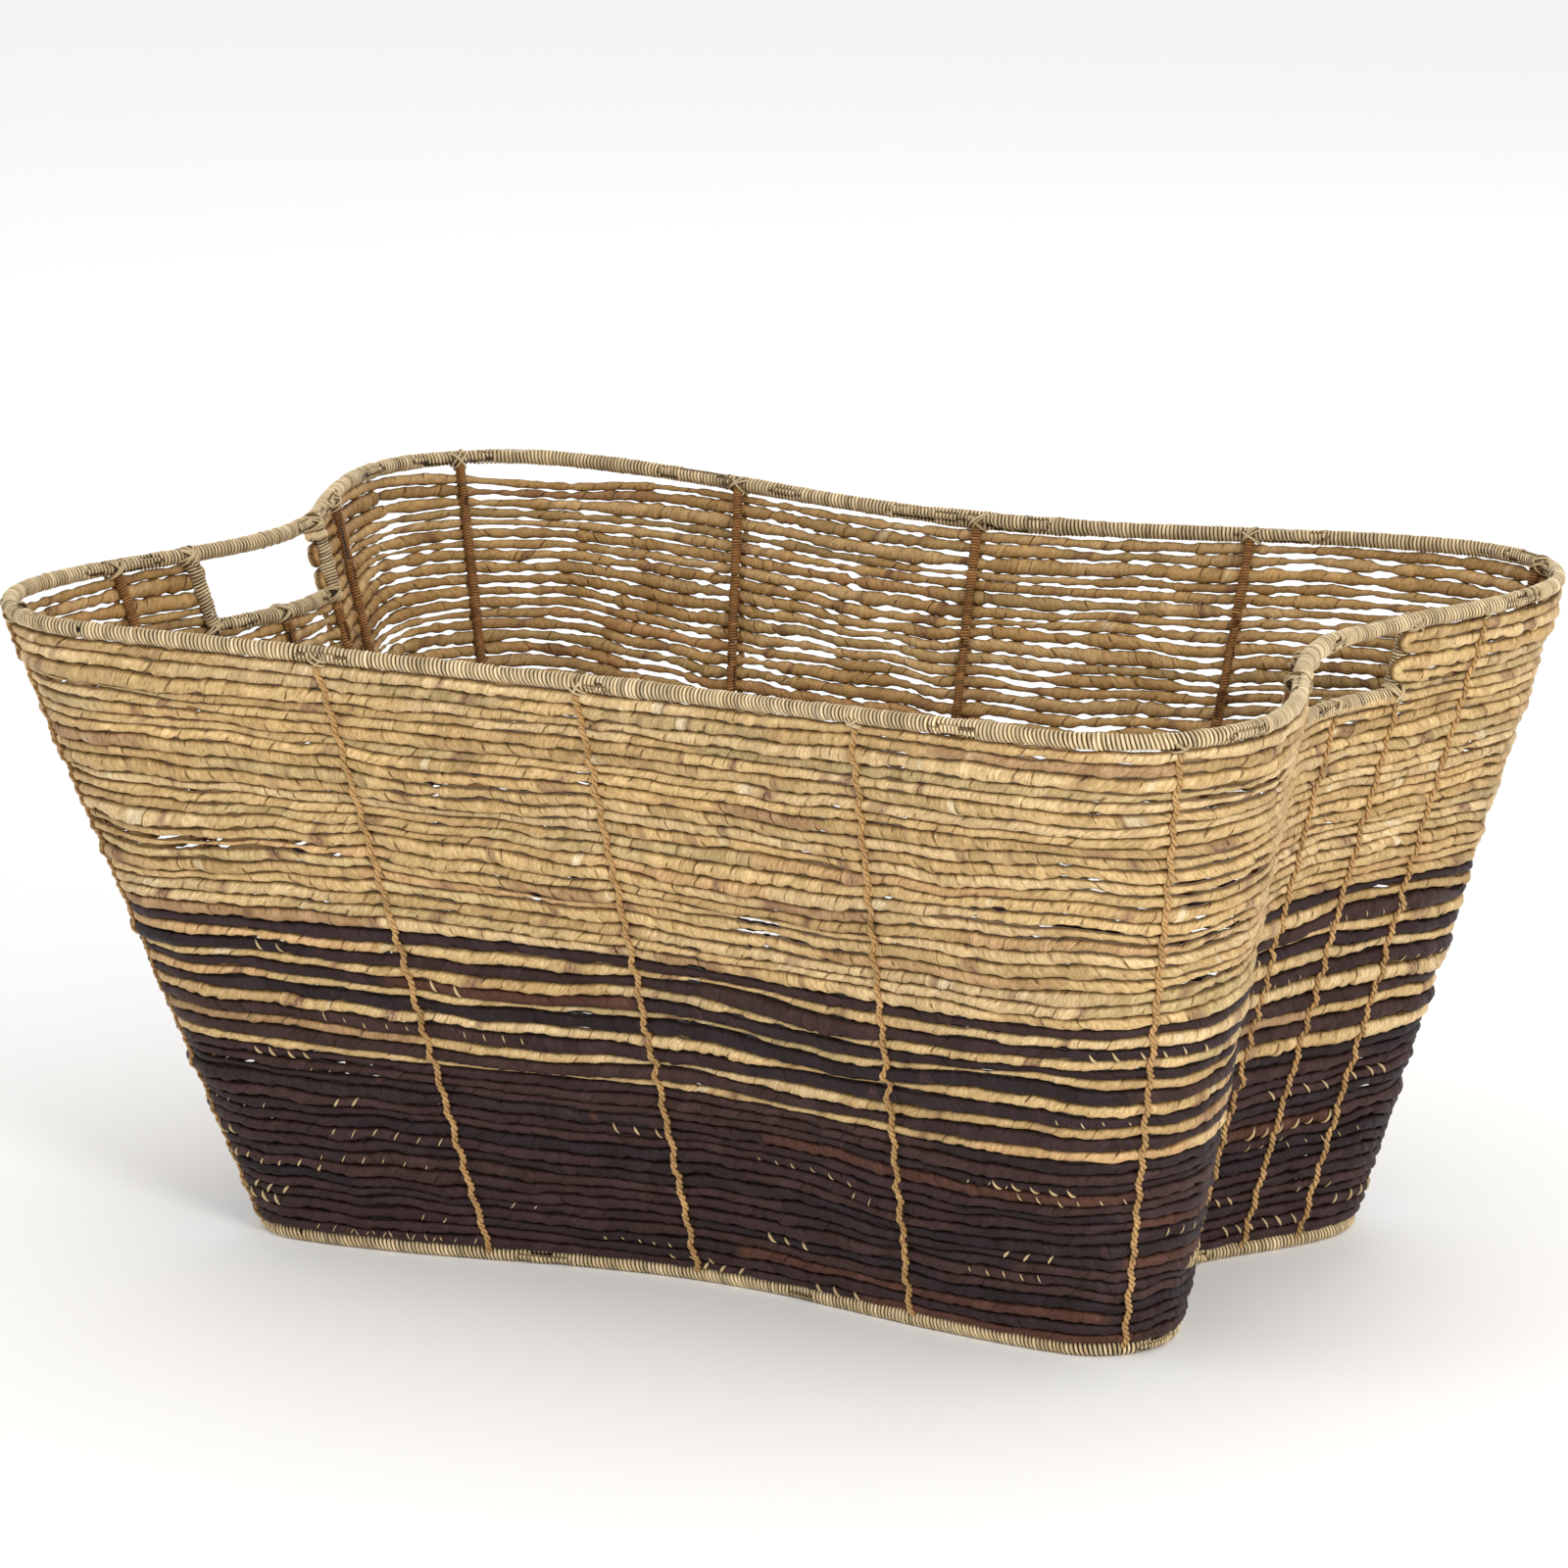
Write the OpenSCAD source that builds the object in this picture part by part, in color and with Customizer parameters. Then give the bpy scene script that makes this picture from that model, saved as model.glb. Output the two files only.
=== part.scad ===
// Log basket: a flared four-lobed wire frame, wrapped in twine and wound round with rope courses.
// The origin is on the floor at the middle of the base. X runs along the length, Z is up.

/* [Rim] */
// Half length of the rim wire, to the outermost point of a corner lobe
rim_half_l = 394; // [340:1:450]
// Half width of the rim wire, to the outermost point of a corner lobe
rim_half_w = 287; // [240:1:330]
// Radius of the rim's corner lobes
rim_lobe_r = 90; // [60:1:110]
// How far the rim's ends are drawn in at their middle
rim_end_dip = 52; // [20:1:70]
// How far the rim's long sides are drawn in at their middle
rim_side_dip = 30; // [0:1:45]
// How far the rim sags at the middle of its long sides
rim_sag = 6; // [0:1:10]

/* [Base] */
// Half length of the base wire, to the outermost point of a corner lobe
base_half_l = 288; // [260:1:340]
// Half width of the base wire, to the outermost point of a corner lobe
base_half_w = 168; // [150:1:220]
// Radius of the base's corner lobes
base_lobe_r = 41; // [35:1:60]
// How far the base's ends are drawn in at their middle
base_end_dip = 54; // [20:1:60]
// How far the base's long sides are drawn in at their middle
base_side_dip = 34; // [0:1:40]
// How far the base sits towards the right end, as it came off the hand-bent frame
base_shift = 13; // [0:1:20]

/* [Frame] */
// Height from the base wire's centre to the rim wire's centre
wall_rise = 378; // [320:1:440]
// Diameter of the rim, base and sill wires
ring_wire_d = 5.4; // [4:0.1:6]
// Diameter of the stakes and floor wires
stake_d = 3.2; // [2.5:0.1:4]
// Outer diameter of the twine wrap on the rim and base
ring_wrap_d = 9.6; // [8.5:0.1:11]
// Outer diameter of the twine wrap on a stake
stake_wrap_d = 5.2; // [4.6:0.1:6]

/* [Hand-holds] */
// Height from a sill wire's centre to the rim wire's centre
hold_drop = 43; // [36:1:60]
// Outer diameter of the twine wrap on a hand-hold post
post_wrap_d = 5.6; // [5:0.1:5.7]

/* [Weave] */
// Thickness of a rope course
rope_d = 7.2; // [6:0.1:8]
// Height share of the wall, from the base, at which the dark courses end
dark_top = 0.325; // [0.25:0.005:0.4]
// Height share of the wall, from the base, at which the striped courses end
striped_top = 0.545; // [0.45:0.005:0.65]
// Thickness of the cord that lashes the courses to a stake
lashing_d = 2.4; // [1.8:0.1:3]

/* [Floor] */
// Number of floor wires that run across the base
cross_wires = 4; // [2:2:6]
// Distance of the two lengthwise floor wires from the middle
long_wire_y = 60; // [30:1:90]

/* [Hidden] */

wire_colour = "dimgray";
twine_colour = "#B9A67C";
natural_colour = "#CFA868";
striped_colour = "#8C6E55";
dark_colour = "#382A30";
lashing_colour = "#A87B40";

ring_z = ring_wrap_d / 2;
clearance = 0.15;
band_gap = 0.4;
natural_bands = 5;
striped_bands = 3;
dark_bands = 4;
tube_sides = 8;

// The stakes stand at these shares of a side or an end, from -1 at its first lobe to 1 at its last,
// going anticlockwise round the basket. They stand a little unevenly, the same at both ends.
front_stakes = [-0.52, 0, 0.6];
back_stakes = [-0.57, 0, 0.57];
end_stakes = [-0.5, -0.2, 0.13, 0.41, 0.67];

// Shares at which an outline has its points: the lobes' ends, each stake and the middle of each gap.
function with_middles(shares) = [
    for (i = [0 : len(shares) - 2], m = [0, 0.5]) shares[i] * (1 - m) + shares[i + 1] * m
];
front_shares = with_middles(concat([-1], front_stakes, [1]));
back_shares = with_middles(concat([-1], back_stakes, [1]));
end_shares = with_middles(concat([-1], end_stakes, [1]));
lobe_steps = 4;

// One dip between two lobes: 1 at the middle, 0 at both lobes, flat at both.
function dip(t) = (1 + cos(180 * t)) / 2;

// A sized outline is [half length, half width, lobe radius, end dip, side dip].
rim_size = [rim_half_l, rim_half_w, rim_lobe_r, rim_end_dip, rim_side_dip];
base_size = [base_half_l, base_half_w, base_lobe_r, base_end_dip, base_side_dip];

function lobe(size, sx, sy, start) = [
    for (i = [0 : lobe_steps - 1])
        let (a = start + 90 * i / lobe_steps)
        [sx * (size[0] - size[2]) + size[2] * cos(a), sy * (size[1] - size[2]) + size[2] * sin(a)]
];
function long_side(size, s, shares) = [
    for (t = shares) [-s * t * (size[0] - size[2]), s * (size[1] - size[4] * dip(t))]
];
function short_end(size, s) = [
    for (t = end_shares) [s * (size[0] - size[3] * dip(t)), s * t * (size[1] - size[2])]
];

// The outline runs anticlockwise: front, front right lobe, right end, and so on round.
function outline(size) = concat(
    long_side(size, -1, front_shares), lobe(size, 1, -1, -90), short_end(size, 1), lobe(size, 1, 1, 0),
    long_side(size, 1, back_shares), lobe(size, -1, 1, 90), short_end(size, -1), lobe(size, -1, -1, 180)
);
rim_line = outline(rim_size);
base_line = [for (p = outline(base_size)) p + [base_shift, 0]];
stations = len(rim_line);

// First station of each stretch of the outline
side_count = len(front_shares);
end_count = len(end_shares);
half_count = side_count + end_count + 2 * lobe_steps;
right_end = side_count + lobe_steps;
back_side = half_count;
left_end = half_count + right_end;

function station(k) = (k + stations) % stations;

// Sag at a station: only the long sides sag
function sag_at(k) =
    let (i = station(k) % half_count, shares = station(k) < half_count ? front_shares : back_shares)
    i < side_count ? rim_sag * dip(shares[i]) : 0;

// A point of the wall at station k and height share s, level with the ring wires' centre lines
function wall_point(k, s) =
    let (r = rim_line[station(k)], b = base_line[station(k)])
    [for (c = [0, 1]) b[c] * (1 - s) + r[c] * s];
function wall_z(k, s) = ring_z + (wall_rise - sag_at(k)) * s;
function outward(k, s) =
    let (d = wall_point(k + 1, s) - wall_point(k - 1, s))
    [d[1], -d[0]] / norm(d);
function wall_at(k, s, off) =
    let (p = wall_point(k, s) + outward(k, s) * off)
    [p[0], p[1], wall_z(k, s)];

// Faces of a grid of rings, each ring n points, closed on itself or capped at both ends
function ring_faces(rings, n, closed) = [
    for (i = [0 : rings - (closed ? 1 : 2)], j = [0 : n - 1])
        let (a = i * n, b = ((i + 1) % rings) * n, k = (j + 1) % n)
        [a + j, a + k, b + k, b + j]
];
function cap_faces(rings, n) = [
    [for (j = [n - 1 : -1 : 0]) j],
    [for (j = [0 : n - 1]) (rings - 1) * n + j]
];

// A closed tube round the whole outline at height share s
module ring_tube(s, d) {
    r = d / 2 / cos(180 / tube_sides);
    points = [
        for (k = [0 : stations - 1], j = [0 : tube_sides - 1])
            let (a = (j + 0.5) * 360 / tube_sides, p = wall_at(k, s, r * cos(a)))
            [p[0], p[1], p[2] + r * sin(a)]
    ];
    polyhedron(points, ring_faces(stations, tube_sides, true), convexity = 8);
}

// A straight round bar between two points
module bar(a, b, d) {
    v = b - a;
    translate(a)
        rotate([0, acos(v[2] / norm(v)), atan2(v[1], v[0])])
            cylinder(h = norm(v), d = d, $fn = 32);
}

function along(a, b, from_a, from_b) =
    let (u = (b - a) / norm(b - a))
    [a + u * from_a, b - u * from_b];

// The stakes stand inside the ring and sill wires, welded to them side by side
stake_in = (ring_wire_d + stake_d) / 2 + clearance;
module stake_bar(k, low, high, d) {
    bar(wall_at(k, low, -stake_in), wall_at(k, high, -stake_in), d);
}
module stake(k, top) {
    color(wire_colour) stake_bar(k, 0, top, stake_d);
}

sill_share = 1 - hold_drop / wall_rise;
ring_share = (ring_wrap_d / 2 + 1.5) / wall_rise;
floor_top = ring_z + stake_d / 2 + clearance;
wrap_low = (floor_top + rope_d + 0.5 - ring_z) / wall_rise;

// Stations of the stakes, by kind
front_stations = [2, 4, 6];
back_stations = [for (k = front_stations) back_side + k];
lobe_stations = [
    side_count + lobe_steps / 2, right_end + end_count + lobe_steps / 2,
    back_side + side_count + lobe_steps / 2, left_end + end_count + lobe_steps / 2
];
flank_stations = [right_end + 2, right_end + 10, left_end + 2, left_end + 10];
post_stations = [right_end + 4, right_end + 8, left_end + 4, left_end + 8];
sill_stations = [right_end + 6, left_end + 6];
full_stations = concat(front_stations, back_stations, lobe_stations, flank_stations);
sorted_stations = concat(
    front_stations, [lobe_stations[0]], [for (k = [2 : 2 : 10]) right_end + k], [lobe_stations[1]],
    back_stations, [lobe_stations[2]], [for (k = [2 : 2 : 10]) left_end + k], [lobe_stations[3]]
);
front_lashed = concat(front_stations, [lobe_stations[3], lobe_stations[0]]);
back_lashed = concat(back_stations, [lobe_stations[1], lobe_stations[2]]);

// Length of ring wire, to one side of a stake, that no twine covers
beside_stake = stake_d / 2 + 2 * clearance;

// A place on a ring, moved a little way along it from station k towards the station after or before
function ring_place(k, s, shift) =
    let (from = shift < 0 ? k - 1 : k, a = wall_at(from, s, 0), b = wall_at(from + 1, s, 0))
    let (u = (b - a) / norm(b - a))
    shift == 0 ? [wall_at(k, s, 0), outward(k, s)]
    : [wall_at(k, s, 0) + u * shift, [u[1], -u[0]] / norm([u[0], u[1]])];

function places(s, a, b, gap_a, gap_b) =
    [for (k = [a : b]) ring_place(k, s, k == a ? gap_a : k == b ? -gap_b : 0)];

// Point j of a tube's skin at a place
function skin(place, r, j) =
    let (t = (j + 0.5) * 360 / tube_sides, c = place[0], u = place[1])
    [c[0] + u[0] * r * cos(t), c[1] + u[1] * r * cos(t), c[2] + r * sin(t)];

// A length of wire along the wall between stations a and b
module wire_length(s, a, b, gap, d) {
    line = places(s, a, b, gap, gap);
    points = [for (q = line, j = [0 : tube_sides - 1]) skin(q, d / 2 / cos(180 / tube_sides), j)];
    polyhedron(points, concat(ring_faces(len(line), tube_sides, false), cap_faces(len(line), tube_sides)));
}

// Twine wound round a wire between stations a and b: a tube with a bore
module wrap_length(s, a, b, gap_a, gap_b, d) {
    line = places(s, a, b, gap_a, gap_b);
    n = tube_sides;
    radii = [for (across = [d, ring_wire_d + 2 * clearance]) across / 2 / cos(180 / n)];
    points = [for (q = line, r = radii, j = [0 : n - 1]) skin(q, r, j)];
    last = (len(line) - 1) * 2 * n;
    sides = [
        for (i = [0 : len(line) - 2], j = [0 : n - 1])
            let (a = i * 2 * n, b = a + 2 * n, k = (j + 1) % n)
            each [[a + j, a + k, b + k, b + j], [a + n + k, a + n + j, b + n + j, b + n + k]]
    ];
    ends = [
        for (j = [0 : n - 1])
            let (k = (j + 1) % n)
            each [[j, j + n, k + n, k], [last + k, last + k + n, last + j + n, last + j]]
    ];
    polyhedron(points, concat(sides, ends), convexity = 8);
}

// The wrap of a whole ring, in lengths from stake to stake: the sill stakes don't reach the rim
module ring_wrap(s) {
    reach_rim = [for (k = sorted_stations) if (k != sill_stations[0] && k != sill_stations[1]) k];
    cuts = s == 0 ? sorted_stations : reach_rim;
    color(twine_colour)
        for (i = [0 : len(cuts) - 1])
            wrap_length(s, cuts[i], i == len(cuts) - 1 ? cuts[0] + stations : cuts[i + 1],
                beside_stake, beside_stake, ring_wrap_d);
}

// The sill wire lies outside the two posts of one end, from one to the other, and outside the sill stake
module sill_wire(first) {
    color(wire_colour) wire_length(sill_share, first, first + 4, 2 * clearance, ring_wire_d);
}
module sill_wrap(first) {
    beside_post = post_wrap_d / 2 + 1;
    color(twine_colour) {
        wrap_length(sill_share, first, first + 2, beside_post, beside_stake, ring_wrap_d - 1);
        wrap_length(sill_share, first + 2, first + 4, beside_stake, beside_post, ring_wrap_d - 1);
    }
}

// A sleeve of twine round a stake, between two height shares
module sleeve(k, low, high, d) {
    difference() {
        stake_bar(k, low, high, d);
        stake_bar(k, 0, 1, stake_d + 2 * clearance);
    }
}

module stake_wraps() {
    color(lashing_colour) {
        for (k = full_stations) sleeve(k, wrap_low, 1 - ring_share, stake_wrap_d);
        for (k = post_stations) sleeve(k, wrap_low, sill_share - ring_share, stake_wrap_d);
        for (k = sill_stations) sleeve(k, wrap_low, sill_share - ring_share, stake_wrap_d);
    }
}

module post_wraps() {
    low = sill_share + (ring_wire_d / 2 + 0.5) / wall_rise;
    color(twine_colour)
        for (k = post_stations) sleeve(k, low, 1 - ring_share, post_wrap_d);
}

// The courses lie against the outside of the stakes, so they stand between the base wire and the rim wire
course_in = stake_wrap_d / 2 - stake_in + 0.3;
course_out = course_in + rope_d;
lashing_off = course_out + lashing_d / 2 + 0.3;

// Some courses as one solid: the stretch of wall from station a to b between two height shares
module courses(a, b, low, high) {
    whole = b - a >= stations;
    rings = whole ? stations : b - a + 1;
    lift = band_gap / 2 / wall_rise;
    points = [
        for (i = [0 : rings - 1], c = [[low + lift, course_in], [low + lift, course_out],
            [high - lift, course_out], [high - lift, course_in]])
            wall_at(a + i, c[0], c[1])
    ];
    faces = concat(ring_faces(rings, 4, whole), whole ? [] : cap_faces(rings, 4));
    polyhedron(points, [for (f = faces) [for (i = [3 : -1 : 0]) f[i]]], convexity = 8);
}

// Height shares at which the courses start and end, and at which they are first cut by the hand-holds
weave_low = (ring_wrap_d / 2 + 0.5) / wall_rise;
weave_high = 1 - weave_low;
weave_split = sill_share - weave_low;

module band(low, high, count, i, colour) {
    step = (high - low) / count;
    color(colour) courses(0, stations, low + (i - 1) * step, low + i * step);
}
module natural_courses(i) {
    band(striped_top, weave_split, natural_bands, i, natural_colour);
}
module striped_courses(i) {
    band(dark_top, striped_top, striped_bands, i, striped_colour);
}
module dark_courses(i) {
    band(weave_low, dark_top, dark_bands, i, dark_colour);
}

// The courses beside the hand-holds run from the post of one end to the post of the other
module top_courses(from_station, to_station) {
    color(natural_colour) courses(from_station, to_station, weave_split, weave_high);
}

module lashing(k, low, high) {
    color(lashing_colour) bar(wall_at(k, low, lashing_off), wall_at(k, high, lashing_off), lashing_d);
}
module lashings(list) {
    for (k = list) lashing(k, 0.02, 0.975);
}
module end_lashings(first) {
    for (k = [first + 2, first + 10]) lashing(k, 0.02, 0.975);
    for (k = [first + 4, first + 6, first + 8]) lashing(k, 0.02, sill_share - 0.02);
}

// Floor: wires between the sides of the base wire, and rope courses laid on them
cross_reach = base_half_l - 100;
function base_half_y(x) =
    base_half_w - base_side_dip * dip(x / (base_half_l - base_lobe_r));

module floor_cross_wires() {
    for (i = [0 : cross_wires - 1]) {
        x = cross_reach * (2 * i / (cross_wires - 1) - 1);
        y = base_half_y(x) - ring_wrap_d / 2 - 1;
        color(wire_colour) translate([base_shift, 0, ring_z]) bar([x, -y, 0], [x, y, 0], stake_d);
    }
}
module floor_long_wires() {
    reach = base_half_l - base_end_dip - ring_wrap_d / 2 - 2;
    for (y = [-long_wire_y, long_wire_y])
        color(wire_colour)
            translate([base_shift, y, ring_z - stake_d])
                bar([-reach, 0, 0], [reach, 0, 0], stake_d - clearance);
}
module floor_courses() {
    inset = stake_in + stake_d / 2 + 0.5;
    edge = [for (k = [0 : stations - 1]) wall_point(k, 0) - outward(k, 0) * inset];
    color(dark_colour) translate([0, 0, floor_top]) linear_extrude(height = rope_d) polygon(edge);
}

color(wire_colour) ring_tube(1, ring_wire_d);  // rim_wire
color(wire_colour) ring_tube(0, ring_wire_d);  // base_wire
ring_wrap(1);  // rim_wrap
ring_wrap(0);  // base_wrap
sill_wire(left_end + 4);  // left_sill_wire
sill_wire(right_end + 4);  // right_sill_wire
sill_wrap(left_end + 4);  // left_sill_wrap
sill_wrap(right_end + 4);  // right_sill_wrap
stake(front_stations[0], 1);  // front_left_stake
stake(front_stations[1], 1);  // front_middle_stake
stake(front_stations[2], 1);  // front_right_stake
stake(back_stations[2], 1);  // back_left_stake
stake(back_stations[1], 1);  // back_middle_stake
stake(back_stations[0], 1);  // back_right_stake
stake(lobe_stations[0], 1);  // front_right_lobe_stake
stake(lobe_stations[1], 1);  // back_right_lobe_stake
stake(lobe_stations[2], 1);  // back_left_lobe_stake
stake(lobe_stations[3], 1);  // front_left_lobe_stake
stake(flank_stations[0], 1);  // right_front_flank_stake
stake(flank_stations[1], 1);  // right_back_flank_stake
stake(flank_stations[2], 1);  // left_back_flank_stake
stake(flank_stations[3], 1);  // left_front_flank_stake
stake(post_stations[0], 1);  // right_front_post
stake(post_stations[1], 1);  // right_back_post
stake(post_stations[2], 1);  // left_back_post
stake(post_stations[3], 1);  // left_front_post
stake(sill_stations[0], sill_share);  // right_sill_stake
stake(sill_stations[1], sill_share);  // left_sill_stake
stake_wraps();
post_wraps();
lashings(front_lashed);  // front_lashings
lashings(back_lashed);  // back_lashings
end_lashings(left_end);  // left_lashings
end_lashings(right_end);  // right_lashings
top_courses(left_end + 8 - stations, right_end + 4);  // top_courses_front
top_courses(right_end + 8, left_end + 4);  // top_courses_back
natural_courses(1);  // natural_courses_1
natural_courses(2);  // natural_courses_2
natural_courses(3);  // natural_courses_3
natural_courses(4);  // natural_courses_4
natural_courses(5);  // natural_courses_5
striped_courses(1);  // striped_courses_1
striped_courses(2);  // striped_courses_2
striped_courses(3);  // striped_courses_3
dark_courses(1);  // dark_courses_1
dark_courses(2);  // dark_courses_2
dark_courses(3);  // dark_courses_3
dark_courses(4);  // dark_courses_4
floor_cross_wires();
floor_long_wires();
floor_courses();
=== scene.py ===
"""Log basket: every rope course, twine turn and lashing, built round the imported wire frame."""
import math
import bpy
import numpy as np
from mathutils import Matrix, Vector


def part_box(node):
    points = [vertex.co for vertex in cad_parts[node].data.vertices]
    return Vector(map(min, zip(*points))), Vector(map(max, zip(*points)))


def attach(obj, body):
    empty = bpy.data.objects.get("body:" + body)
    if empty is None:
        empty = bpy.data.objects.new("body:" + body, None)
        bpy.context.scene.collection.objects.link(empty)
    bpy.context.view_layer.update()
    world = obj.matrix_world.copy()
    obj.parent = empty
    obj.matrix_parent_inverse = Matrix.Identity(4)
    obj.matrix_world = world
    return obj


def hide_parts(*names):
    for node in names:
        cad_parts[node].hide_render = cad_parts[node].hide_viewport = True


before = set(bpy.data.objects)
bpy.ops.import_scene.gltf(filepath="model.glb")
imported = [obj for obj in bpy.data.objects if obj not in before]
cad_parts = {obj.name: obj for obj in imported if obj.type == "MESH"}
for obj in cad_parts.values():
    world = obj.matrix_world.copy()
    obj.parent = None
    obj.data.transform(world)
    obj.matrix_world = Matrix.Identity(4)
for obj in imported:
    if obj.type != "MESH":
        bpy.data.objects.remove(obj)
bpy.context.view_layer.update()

MM = 0.001
TAU = 2 * math.pi

# ---------------------------------------------------------------------------------------------
# The wall's driving dimensions, in metres. The rings' lengths and widths come from the frame.
# ---------------------------------------------------------------------------------------------
RING_WIRE_R = 2.7 * MM
STAKE_WIRE_R = 1.6 * MM
STAKE_WRAP_R = 2.6 * MM
STAKE_IN = RING_WIRE_R + STAKE_WIRE_R + 0.15 * MM
RIM_LOBE_R = 90 * MM
RIM_END_DIP = 52 * MM
RIM_SIDE_DIP = 30 * MM
RIM_SAG = 6 * MM
BASE_LOBE_R = 41 * MM
BASE_END_DIP = 54 * MM
BASE_SIDE_DIP = 34 * MM
HOLD_DROP = 43 * MM
ROPE_D = 7.2 * MM
COURSE_OFF = STAKE_WRAP_R - STAKE_IN + 0.3 * MM + ROPE_D / 2

rim_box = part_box("rim_wire")
base_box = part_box("base_wire")
BASE_Z = (base_box[0][2] + base_box[1][2]) / 2
RIM_Z = rim_box[1][2] - RING_WIRE_R
WALL_RISE = RIM_Z - BASE_Z
BASE_SHIFT = (base_box[0][0] + base_box[1][0]) / 2

# Plan of each ring: half length, half width, lobe radius, dip of the ends and dip of the sides
RIM_SIZE = (rim_box[1][0] - RING_WIRE_R, rim_box[1][1] - RING_WIRE_R,
            RIM_LOBE_R, RIM_END_DIP, RIM_SIDE_DIP)
BASE_SIZE = (base_box[1][0] - BASE_SHIFT - RING_WIRE_R, base_box[1][1] - RING_WIRE_R,
             BASE_LOBE_R, BASE_END_DIP, BASE_SIDE_DIP)
SILL_SHARE = 1 - HOLD_DROP / WALL_RISE

# Places of the stakes along each stretch, from -1 to 1
FRONT_STAKES = (-0.52, 0.0, 0.6)
BACK_STAKES = (-0.57, 0.0, 0.57)
END_STAKES = (-0.5, -0.2, 0.13, 0.41, 0.67)

# Height shares between which the dark, striped and natural courses lie, and how many of each there are
WEAVE_LOW = 4.6 * MM / WALL_RISE
DARK_TOP = 0.325
STRIPED_TOP = 0.545
WEAVE_HIGH = 1 - WEAVE_LOW
DARK_COURSES = 17
STRIPED_COURSES = 12
NATURAL_COURSES = 18
TOP_COURSES = 5


# ---------------------------------------------------------------------------------------------
# The wall as a surface: "turn" runs round the basket from 0 to 8, one whole number a stretch
# (front, lobe, right end, lobe, back, lobe, left end, lobe), and "share" runs up it from 0 to 1.
# ---------------------------------------------------------------------------------------------
def dip(t):
    """How far a stretch is drawn in, from 0 at its ends to 1 in its middle."""
    return (1 + np.cos(np.pi * t)) / 2


def plan(size, turn):
    """The outline's points for an array of turns."""
    half_l, half_w, lobe_r, end_dip, side_dip = size
    turn = np.asarray(turn, float) % 8
    stretch = np.floor(turn).astype(int)
    part = turn - stretch
    t = 2 * part - 1
    points = np.zeros(turn.shape + (2,))
    side_x, side_y = t * (half_l - lobe_r), half_w - side_dip * dip(t)
    end_x, end_y = half_l - end_dip * dip(t), t * (half_w - lobe_r)
    angle = part * np.pi / 2
    for index, values in (
        (0, (side_x, -side_y)), (4, (-side_x, side_y)),
        (2, (end_x, end_y)), (6, (-end_x, -end_y)),
        (1, (half_l - lobe_r + lobe_r * np.sin(angle), lobe_r - half_w - lobe_r * np.cos(angle))),
        (3, (half_l - lobe_r + lobe_r * np.cos(angle), half_w - lobe_r + lobe_r * np.sin(angle))),
        (5, (lobe_r - half_l - lobe_r * np.sin(angle), half_w - lobe_r + lobe_r * np.cos(angle))),
        (7, (lobe_r - half_l - lobe_r * np.cos(angle), lobe_r - half_w - lobe_r * np.sin(angle))),
    ):
        on = stretch == index
        points[on, 0] = values[0][on]
        points[on, 1] = values[1][on]
    return points


def sag(turn):
    """How far the rim hangs below its highest level at a turn."""
    turn = np.asarray(turn, float) % 8
    return np.where((turn % 4) < 1, RIM_SAG * dip(2 * (turn % 4) - 1), 0.0)


def wall(turn, share):
    """Points level with the ring wires' centre lines."""
    turn, share = np.broadcast_arrays(np.asarray(turn, float), np.asarray(share, float))
    base = plan(BASE_SIZE, turn) + np.array([BASE_SHIFT, 0])
    flat = base * (1 - share[..., None]) + plan(RIM_SIZE, turn) * share[..., None]
    height = BASE_Z + (WALL_RISE - sag(turn)) * share
    return np.concatenate([flat, height[..., None]], axis=-1)


def distances(path):
    """The distance from a path's start to each of its points."""
    return np.r_[0, np.cumsum(np.linalg.norm(np.diff(path, axis=0), axis=1))]


def unit(v):
    return v / np.maximum(np.linalg.norm(v, axis=-1, keepdims=True), 1e-12)


def wall_axes(turn, share):
    """The directions along the course, up the wall and out of it."""
    turn_step, share_step = 0.02, 0.01
    ahead = unit(wall(turn + turn_step, share) - wall(turn - turn_step, share))
    up = unit(wall(turn, share + share_step) - wall(turn, share - share_step))
    out = unit(np.cross(ahead, up))
    return ahead, unit(np.cross(out, ahead)), out


def side_turn(stretch, t):
    """The turn at place t, from -1 to 1, of a stretch."""
    return stretch + (t + 1) / 2


FRONT_TURNS = [side_turn(0, t) for t in FRONT_STAKES]
BACK_TURNS = [side_turn(4, t) for t in BACK_STAKES]
LOBE_TURNS = [1.5, 3.5, 5.5, 7.5]
RIGHT_TURNS = [side_turn(2, t) for t in END_STAKES]
LEFT_TURNS = [side_turn(6, t) for t in END_STAKES]
POST_TURNS = [RIGHT_TURNS[1], RIGHT_TURNS[3], LEFT_TURNS[1], LEFT_TURNS[3]]
SILL_TURNS = [RIGHT_TURNS[2], LEFT_TURNS[2]]
ALL_TURNS = np.array(sorted(FRONT_TURNS + BACK_TURNS + LOBE_TURNS + RIGHT_TURNS + LEFT_TURNS))

# Stations round the wall, evenly spaced along the middle of its height, starting at the front left lobe
STATIONS = 1100
START_TURN = LOBE_TURNS[3]
fine_turns = np.linspace(START_TURN, START_TURN + 8, 8001)
fine_length = distances(wall(fine_turns, 0.5))
AROUND = np.arange(STATIONS) / STATIONS
GIRTH = fine_length[-1]
TURNS = np.interp(AROUND * GIRTH, fine_length, fine_turns) % 8
MOST_CYCLES = 26


def among(turn, turns):
    return any(abs(turn - other) < 1e-6 for other in turns)


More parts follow.
